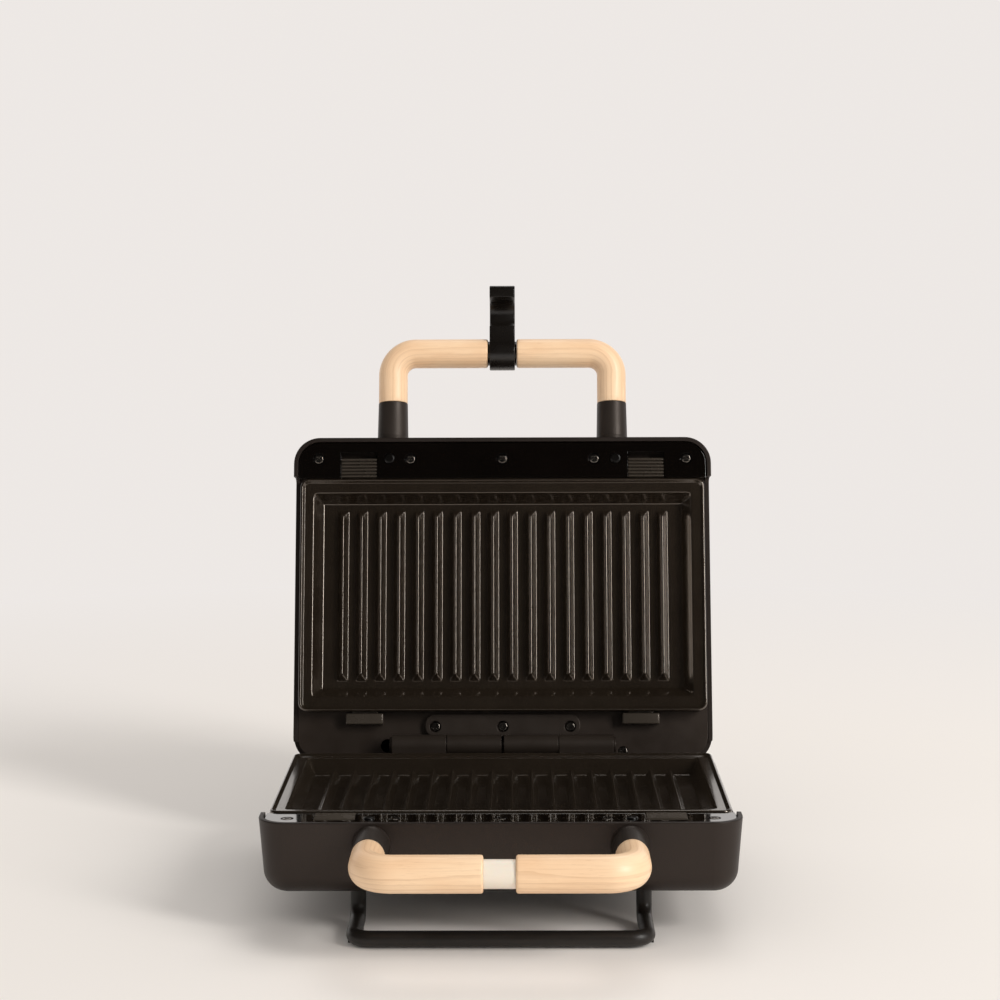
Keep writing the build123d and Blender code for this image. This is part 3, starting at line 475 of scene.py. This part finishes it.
# Each grip with its side, its case, where its half of the bar ends and where its grain starts
GRIPS = (
    ("lower_grip_right", 1, "base", 7.6, 0.0),
    ("lower_grip_left", -1, "base", 7.6, 0.37),
    ("upper_grip_right", 1, "lid", 8.25, 0.71),
    ("upper_grip_left", -1, "lid", 8.25, 1.13),
)


def grip_stations(bar_end):
    """Middle line of a right-hand grip: each point, its direction and how much thinner it is."""
    down, inward = Vector((0, -1)), Vector((-1, 0))
    stations = [
        (Vector((GRIP_X, GRIP_START - setback)), down, shrink)
        for setback, shrink in ((0, 0.35), (0.12, 0.12), (0.35, 0))
    ]
    bend_x, bend_y = GRIP_X - GRIP_BEND, BAR_Y + GRIP_BEND
    for step in range(1, 5):
        y = GRIP_START + (bend_y - GRIP_START) * step / 5
        stations.append((Vector((GRIP_X, y)), down, 0))
    for step in range(25):
        turn = math.radians(90 * step / 24)
        place = Vector((bend_x, bend_y)) + GRIP_BEND * Vector((math.cos(turn), -math.sin(turn)))
        stations.append((place, Vector((-math.sin(turn), -math.cos(turn))), 0))
    edge_x = bar_end + GRIP_EDGE
    for step in range(1, 12):
        x = bend_x + (edge_x - bend_x) * step / 11
        stations.append((Vector((x, BAR_Y)), inward, 0))
    for step in range(1, 7):
        turn = math.radians(15 * step)
        x = edge_x - GRIP_EDGE * math.sin(turn)
        stations.append((Vector((x, BAR_Y)), inward, GRIP_EDGE * (1 - math.cos(turn))))
    return stations


def grip(side, half, bar_end, seed):
    """Wooden grip: a leg, a bend and half of the bar. Its grain follows the bar's curve."""
    stations = grip_stations(bar_end)
    loops, tags = [], []
    travelled = 0.0
    before = stations[0][0]
    for place, ahead, shrink in stations:
        travelled += (place - before).length
        before = place
        across = Vector((-ahead.y, ahead.x))
        loop, values = [], []
        for step in range(GRIP_ROUND):
            turn = math.tau * step / GRIP_ROUND
            out = (GRIP_HALF[0] - shrink) * math.cos(turn)
            up = (GRIP_HALF[1] - shrink) * math.sin(turn)
            x, y = place + across * out
            loop.append((side * x, y, HANDLE_Z + up))
            values.append((travelled * MM + seed, out * MM, up * MM))
        loops.append(loop)
        tags.append(values)
    maker = bmesh.new()
    skinned(maker, loops, tags)
    return placed(maker, half, "grip")


# ---- materials ----

def node(tree, kind, sockets=None, **settings):
    """Node with its settings, its inputs either linked or given a value."""
    made = tree.nodes.new(kind)
    for key, value in settings.items():
        setattr(made, key, value)
    for key, value in (sockets or {}).items():
        if isinstance(value, bpy.types.NodeSocket):
            tree.links.new(value, made.inputs[key])
        else:
            made.inputs[key].default_value = value
    return made


def noise(tree, place, scale, detail=3.0, rough=0.55, distortion=0.0, stretch=None, turn=None):
    """Noise in the object's own space, stretched and turned if asked."""
    if stretch or turn:
        sockets = {"Vector": place}
        if stretch:
            sockets["Scale"] = stretch
        if turn:
            sockets["Rotation"] = turn
        place = node(tree, "ShaderNodeMapping", sockets).outputs["Vector"]
    sockets = {
        "Vector": place,
        "Scale": scale,
        "Detail": detail,
        "Roughness": rough,
        "Distortion": distortion,
    }
    return node(tree, "ShaderNodeTexNoise", sockets).outputs["Fac"]


def ranged(tree, value, low, high, to_low, to_high):
    """Value moved from one range to another and held inside it."""
    sockets = {
        "Value": value,
        "From Min": low,
        "From Max": high,
        "To Min": to_low,
        "To Max": to_high,
    }
    return node(tree, "ShaderNodeMapRange", sockets).outputs["Result"]


def mixed(tree, share, first, second):
    """Colour between two colours."""
    made = node(tree, "ShaderNodeMix", {"Factor": share}, data_type="RGBA")
    for key, value in (("A", first), ("B", second)):
        socket = next(s for s in made.inputs if s.name == key and s.type == "RGBA")
        if isinstance(value, bpy.types.NodeSocket):
            tree.links.new(value, socket)
        else:
            socket.default_value = (*value, 1)
    return next(s for s in made.outputs if s.type == "RGBA")


def started(name, shader):
    """Material with its shader's uniform values set, its tree and its object coordinates."""
    material = bpy.data.materials.new(name)
    material.use_nodes = True
    tree = material.node_tree
    surface = tree.nodes["Principled BSDF"]
    for key, value in shader.items():
        surface.inputs[key].default_value = value
    place = node(tree, "ShaderNodeTexCoord").outputs["Object"]
    return material, tree, surface, place


def bumped(tree, surface, layers, edge=0.0):
    """Joins bump layers, each a height, a strength and a depth in metres, over an eased edge."""
    normal = None
    if edge:
        normal = node(tree, "ShaderNodeBevel", {"Radius": edge}, samples=4).outputs["Normal"]
    for height, strength, depth in layers:
        sockets = {"Height": height, "Strength": strength, "Distance": depth}
        if normal:
            sockets["Normal"] = normal
        normal = node(tree, "ShaderNodeBump", sockets).outputs["Normal"]
    if normal:
        tree.links.new(normal, surface.inputs["Normal"])


def moulded(name, dark, light, rough, grain, depth, edge=0.0, cloud=18.0, speck=None, **shader):
    """Moulded, cast or coated surface: soft mottling, fine grain and uneven gloss."""
    material, tree, surface, place = started(name, shader)
    cloudy = noise(tree, place, cloud, 4)
    fine = noise(tree, place, grain, 2)
    share = ranged(tree, cloudy, 0.3, 0.7, 0, 1)
    colour = mixed(tree, share, dark, light)
    if speck:
        speck_colour, speck_scale, speck_from, speck_to = speck
        specks = noise(tree, place, speck_scale, 1, 0.4)
        colour = mixed(tree, ranged(tree, specks, speck_from, speck_to, 0, 1), colour, speck_colour)
    tree.links.new(colour, surface.inputs["Base Color"])
    gloss = ranged(tree, noise(tree, place, cloud * 4, 3), 0.3, 0.7, rough[0], rough[1])
    tree.links.new(gloss, surface.inputs["Roughness"])
    bumped(tree, surface, [(fine, 1.0, depth)], edge)
    return material


def wood(name):
    """Pale fine-grained wood. Its grain runs along the bent bar with a slight slant."""
    shader = {"Coat Weight": 0.15, "Coat Roughness": 0.28, "Specular IOR Level": 0.4}
    material, tree, surface, _ = started(name, shader)
    place = node(tree, "ShaderNodeAttribute", attribute_name="grain").outputs["Vector"]
    slant = (0, math.radians(2.5), math.radians(-3.0))
    ringed = node(
        tree, "ShaderNodeMapping",
        {"Vector": place, "Scale": (0.16, 1, 1), "Rotation": slant, "Location": (0, 0.021, 0.016)},
    ).outputs["Vector"]
    rings = node(
        tree, "ShaderNodeTexWave",
        {
            "Vector": ringed, "Scale": 150, "Distortion": 3.4, "Detail": 3,
            "Detail Scale": 0.9, "Detail Roughness": 0.5,
        },
        wave_type="RINGS", rings_direction="X", wave_profile="SAW",
    ).outputs["Fac"]
    lines = noise(tree, place, 1.0, 3, 0.65, 0.1, (26, 1100, 1100), slant)
    pores = noise(tree, place, 1.0, 2, 0.5, 0.0, (150, 3000, 3000), slant)
    cloudy = noise(tree, place, 1.0, 3, 0.5, 0.0, (22, 60, 60))
    pale, warm, deep = (0.95, 0.69, 0.45), (0.87, 0.565, 0.335), (0.50, 0.26, 0.12)
    colour = mixed(tree, ranged(tree, cloudy, 0.35, 0.65, 0, 0.8), pale, warm)
    colour = mixed(tree, ranged(tree, rings, 0.6, 1.0, 0, 0.24), colour, deep)
    colour = mixed(tree, ranged(tree, lines, 0.52, 0.78, 0, 0.34), colour, deep)
    colour = mixed(tree, ranged(tree, pores, 0.62, 0.8, 0, 0.42), colour, deep)
    tree.links.new(colour, surface.inputs["Base Color"])
    gloss = ranged(tree, lines, 0.3, 0.7, 0.36, 0.48)
    tree.links.new(gloss, surface.inputs["Roughness"])
    bumped(tree, surface, [(lines, 0.3, 0.0001), (pores, 0.3, 0.00006)])
    return material


def metal(name, dark, light, rough, grain, depth, stretch=None, edge=0.0):
    """Metal with rolled or drawn marks and slightly uneven gloss."""
    material, tree, surface, place = started(name, {"Metallic": 1.0})
    marks = noise(tree, place, grain, 3, 0.6, 0, stretch)
    cloudy = noise(tree, place, 40, 3)
    colour = mixed(tree, ranged(tree, cloudy, 0.3, 0.7, 0, 1), dark, light)
    tree.links.new(colour, surface.inputs["Base Color"])
    gloss = ranged(tree, marks, 0.3, 0.7, rough[0], rough[1])
    tree.links.new(gloss, surface.inputs["Roughness"])
    bumped(tree, surface, [(marks, 0.6, depth)], edge)
    return material


WARM_BLACK = {"Specular Tint": (1, 0.86, 0.79, 1)}
WARM_GREY = {"Specular Tint": (1, 0.88, 0.80, 1)}
FINISHES = {
    "case_plastic": moulded(
        "case_plastic", (0.0110, 0.0076, 0.0059), (0.0143, 0.0101, 0.0081), (0.44, 0.485), 1700,
        0.00006, 0.0004, **{"Specular IOR Level": 0.46}, **WARM_BLACK,
    ),
    "bezel_plastic": moulded(
        "bezel_plastic", (0.0016, 0.0009, 0.0005), (0.0024, 0.0014, 0.0009), (0.06, 0.10), 320,
        0.000006, 0.0003, **{"Coat Weight": 1.0, "Coat Roughness": 0.03},
    ),
    "plate_coating": moulded(
        "plate_coating", (0.0112, 0.0078, 0.0050), (0.0152, 0.0108, 0.0072), (0.19, 0.25), 2300,
        0.00002, speck=((0.030, 0.022, 0.015), 3200, 0.62, 0.74),
        **{
            "Specular IOR Level": 0.8, "Specular Tint": (1, 0.80, 0.62, 1),
            "Coat Weight": 0.5, "Coat Roughness": 0.11, "Coat IOR": 1.85,
        },
    ),
    "clip_plastic": moulded(
        "clip_plastic", (0.036, 0.029, 0.0225), (0.048, 0.039, 0.030), (0.22, 0.30), 1500,
        0.00003, 0.0005, **{"Specular IOR Level": 0.6}, **WARM_GREY,
    ),
    "element_steel": metal(
        "element_steel", (0.20, 0.185, 0.17), (0.33, 0.31, 0.29), (0.35, 0.5), 900, 0.00003
    ),
    "pan_aluminium": metal(
        "pan_aluminium", (0.62, 0.61, 0.60), (0.74, 0.73, 0.72), (0.28, 0.42), 1, 0.00002,
        (60, 1600, 1600),
    ),
    "bumper_rubber": moulded(
        "bumper_rubber", (0.0016, 0.0011, 0.0008), (0.0024, 0.0017, 0.0012), (0.24, 0.32), 1400,
        0.00002, 0.0006, **{"Specular IOR Level": 0.35},
    ),
    "screw_steel": metal(
        "screw_steel", (0.17, 0.15, 0.13), (0.26, 0.235, 0.21), (0.16, 0.24), 1200, 0.00002,
        None, 0.0003,
    ),
    "hinge_metal": moulded(
        "hinge_metal", (0.0165, 0.0120, 0.0088), (0.0220, 0.0165, 0.0125), (0.36, 0.44), 1600,
        0.00005, 0.0007, **{"Specular IOR Level": 0.55}, **WARM_BLACK,
    ),
    "ferrule_plastic": moulded(
        "ferrule_plastic", (0.0185, 0.0138, 0.0110), (0.0245, 0.0188, 0.0152), (0.42, 0.52), 1500,
        0.00009, 0.0003, **WARM_GREY,
    ),
    "handle_wood": wood("handle_wood"),
    "keeper_plastic": moulded(
        "keeper_plastic", (0.81, 0.725, 0.61), (0.87, 0.79, 0.675), (0.36, 0.44), 1200, 0.00002,
        0.0003, **{"Subsurface Weight": 0.08, "Subsurface Scale": 0.002},
    ),
    "latch_plastic": moulded(
        "latch_plastic", (0.006, 0.0045, 0.0034), (0.0085, 0.0065, 0.005), (0.24, 0.32), 1600,
        0.00003,
    ),
    "foot_metal": moulded(
        "foot_metal", (0.0105, 0.0082, 0.0064), (0.0155, 0.0122, 0.0098), (0.36, 0.46), 1300,
        0.00007, **{"Specular IOR Level": 0.45},
    ),
    "electrical_plastic": moulded(
        "electrical_plastic", (0.48, 0.44, 0.37), (0.56, 0.52, 0.45), (0.45, 0.55), 1200, 0.00004
    ),
    "lens_plastic": moulded(
        "lens_plastic", (0.62, 0.05, 0.015), (0.70, 0.08, 0.02), (0.12, 0.2), 900, 0.00001,
        **{"Transmission Weight": 0.35, "Coat Weight": 0.4, "Coat Roughness": 0.08},
    ),
    "lamp_glass": moulded(
        "lamp_glass", (0.80, 0.62, 0.48), (0.86, 0.70, 0.55), (0.06, 0.12), 500, 0.00001,
        **{"Transmission Weight": 0.7},
    ),
}
TRAYS = ("base_inner_frame", "lid_inner_frame")
TRAY_FINISH = moulded(
    "tray_plastic", (0.0160, 0.0108, 0.0074), (0.0220, 0.0156, 0.0112), (0.36, 0.46), 1900,
    0.00005, 0.0005, **{"Specular IOR Level": 0.55}, **WARM_BLACK,
)


def dress():
    """Gives each CAD node the finish that its slot names, and the trays one of their own."""
    slots = {entry["node"]: entry["material_slot"] for entry in frame["record"]["subparts"]}
    for name, piece in frame["nodes"].items():
        material = TRAY_FINISH if name in TRAYS else FINISHES[slots[name]]
        if not piece.material_slots:
            piece.data.materials.append(material)
        for slot in piece.material_slots:
            slot.material = material


dress()

for half, plate in (("base", "lower_plate"), ("lid", "upper_plate")):
    hooks = half + "_plate_hooks"
    finished(plate + "_cast", grill_plate(half), half, "plate_coating", plate, 60)
    finished(hooks, plate_clips(half), half, "clip_plastic", half + "_plate_clips")
    for side, word in ((-1, "left"), (1, "right")):
        name, body = half + "_release_" + word, half + "_" + word + "_slider"
        finished(name + "_ribbed", release_slider(side, half), body, "clip_plastic", name)
for name, side, half, bar_end, seed in GRIPS:
    finished(name + "_turned", grip(side, half, bar_end, seed), half, "handle_wood", name, 50)
finished("latch_clip_moulded", latch_clip(), "latch", "latch_plastic", "latch_clip")

# ---- floor, light and camera ----

BACKDROP = (0.850, 0.810, 0.784)
FLOOR_COLOUR = (0.90, 0.855, 0.815)
FLOOR_REACH = 12.0
FADE_FROM, FADE_TO = 0.45, 1.1
AMBIENT_COLOUR = (1, 0.985, 0.965, 1)
AMBIENT_STRENGTH = 0.575
ROOM_FRONT = 0.02
ROOM_TOP = 0.08

# The fitted camera: its focal length and the photo's width in pixels, place in metres, and angles
FOCAL_PIXELS = 2330.9
PHOTO_PIXELS = 1000
SENSOR_WIDTH = 36
CAMERA_PLACE = (0.00927, -1.20746, 0.3388)
CAMERA_PITCH, CAMERA_YAW, CAMERA_ROLL = 6.296, -0.462, -0.197


def pale_floor():
    """Floor that fades into the plain backdrop away from the object."""
    mesh = bpy.data.meshes.new("floor")
    signs = ((-1, -1), (1, -1), (1, 1), (-1, 1))
    mesh.from_pydata([(x * FLOOR_REACH, y * FLOOR_REACH, 0) for x, y in signs], [], [(0, 1, 2, 3)])
    floor = bpy.data.objects.new("floor", mesh)
    bpy.context.scene.collection.objects.link(floor)
    material = bpy.data.materials.new("floor_card")
    material.use_nodes = True
    tree = material.node_tree
    tree.nodes.remove(tree.nodes["Principled BSDF"])
    place = node(tree, "ShaderNodeTexCoord").outputs["Object"]
    darker = tuple(value * 0.985 for value in FLOOR_COLOUR)
    paper = mixed(tree, noise(tree, place, 3, 2), FLOOR_COLOUR, darker)
    card = node(tree, "ShaderNodeBsdfDiffuse", {"Color": paper}).outputs["BSDF"]
    plain = node(
        tree, "ShaderNodeEmission", {"Color": (*BACKDROP, 1), "Strength": 1.0}
    ).outputs["Emission"]
    distance = node(tree, "ShaderNodeVectorMath", {0: place}, operation="LENGTH").outputs["Value"]
    share = ranged(tree, distance, FADE_FROM, FADE_TO, 0, 1)
    blend = node(tree, "ShaderNodeMixShader", {0: share, 1: card, 2: plain}).outputs["Shader"]
    tree.links.new(blend, tree.nodes["Material Output"].inputs["Surface"])
    mesh.materials.append(material)


def surroundings():
    """Pale surroundings for the camera. Reflections see a dark room in front of the object."""
    world = bpy.data.worlds.new("surroundings")
    bpy.context.scene.world = world
    world.use_nodes = True
    tree = world.node_tree
    light_path = node(tree, "ShaderNodeLightPath")
    direction = node(tree, "ShaderNodeTexCoord").outputs["Generated"]
    parts = node(tree, "ShaderNodeSeparateXYZ", {"Vector": direction})
    paper = (*BACKDROP, 1)
    ambient = node(
        tree, "ShaderNodeBackground", {"Color": AMBIENT_COLOUR, "Strength": AMBIENT_STRENGTH}
    ).outputs["Background"]
    plain = node(
        tree, "ShaderNodeBackground", {"Color": paper, "Strength": 1.0}
    ).outputs["Background"]
    behind = ranged(tree, parts.outputs["Y"], 0.25, 0.8, ROOM_FRONT, 1)
    above = ranged(tree, parts.outputs["Z"], 0.35, 0.7, 1, ROOM_TOP)
    bright = node(
        tree, "ShaderNodeMath", {0: behind, 1: above}, operation="MULTIPLY"
    ).outputs["Value"]
    mirrored = node(
        tree, "ShaderNodeBackground", {"Color": paper, "Strength": bright}
    ).outputs["Background"]
    shiny = node(
        tree, "ShaderNodeMath",
        {0: light_path.outputs["Is Glossy Ray"], 1: light_path.outputs["Is Transmission Ray"]},
        operation="MAXIMUM",
    ).outputs["Value"]
    blend = node(tree, "ShaderNodeMixShader", {0: shiny, 1: ambient, 2: mirrored}).outputs["Shader"]
    seen = light_path.outputs["Is Camera Ray"]
    blend = node(tree, "ShaderNodeMixShader", {0: seen, 1: blend, 2: plain}).outputs["Shader"]
    tree.links.new(blend, tree.nodes["World Output"].inputs["Surface"])


def lamp(name, place, target, size, power, colour):
    """Soft area light aimed at a point."""
    light = bpy.data.lights.new(name, "AREA")
    light.shape = "RECTANGLE"
    light.size, light.size_y = size
    light.energy = power
    light.color = colour
    holder = bpy.data.objects.new(name, light)
    bpy.context.scene.collection.objects.link(holder)
    holder.location = place
    aim = Vector(target) - Vector(place)
    holder.rotation_euler = aim.to_track_quat("-Z", "Y").to_euler()


def photo_camera():
    """Camera at the photograph's place, angle and field of view."""
    pitch, yaw, roll = (math.radians(a) for a in (CAMERA_PITCH, CAMERA_YAW, CAMERA_ROLL))
    ahead = Vector((
        math.sin(yaw) * math.cos(pitch), math.cos(yaw) * math.cos(pitch), -math.sin(pitch)
    ))
    level = Vector((math.cos(yaw), -math.sin(yaw), 0))
    raised = level.cross(ahead)
    across = level * math.cos(roll) + raised * math.sin(roll)
    up = raised * math.cos(roll) - level * math.sin(roll)
    data = bpy.data.cameras.new("camera")
    data.sensor_width = SENSOR_WIDTH
    data.lens = FOCAL_PIXELS * SENSOR_WIDTH / PHOTO_PIXELS
    data.clip_start = 0.01
    camera = bpy.data.objects.new("camera", data)
    bpy.context.scene.collection.objects.link(camera)
    columns = Matrix((across, up, -ahead)).transposed().to_4x4()
    camera.matrix_world = Matrix.Translation(CAMERA_PLACE) @ columns
    bpy.context.scene.camera = camera


pale_floor()
surroundings()
lamp("key", (2.98, -2.41, 2.0), (0, 0.1, 0.18), (1.0, 2.3), 122, (1.0, 0.98, 0.95))
lamp("rear_top", (0.45, 1.6, 2.75), (0, 0.1, 0.15), (1.6, 1.3), 16, (1.0, 0.985, 0.96))
photo_camera()
bpy.context.scene.view_settings.view_transform = "Standard"
